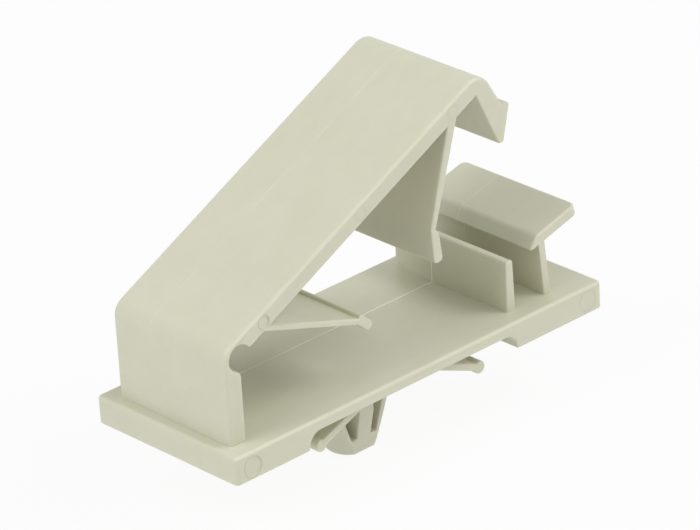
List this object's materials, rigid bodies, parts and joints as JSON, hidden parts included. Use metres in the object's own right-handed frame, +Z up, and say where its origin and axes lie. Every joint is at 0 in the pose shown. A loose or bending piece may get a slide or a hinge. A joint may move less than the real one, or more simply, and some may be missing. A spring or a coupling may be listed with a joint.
{
  "type": "snap-in flat cable clip",
  "caption": "One-piece plastic clip that snaps into a panel hole and holds flat ribbon cable under a hinged, latching lid with leaf springs.",
  "frame": {"origin": "where the anchor's axis crosses the face of the panel that the clip stands on, at the height of the base's rims and on the clip's middle plane", "axes": "+X along the clip from the hinge to the catch, +Y across it, +Z up out of the panel"},
  "size_m": [0.0628, 0.0254, 0.048],
  "materials": {
    "nylon": "moulded, slightly satin, natural ivory"
  },
  "bodies": {
    "root": {"cable_clip": "nylon"}
  },
  "joints": []
}
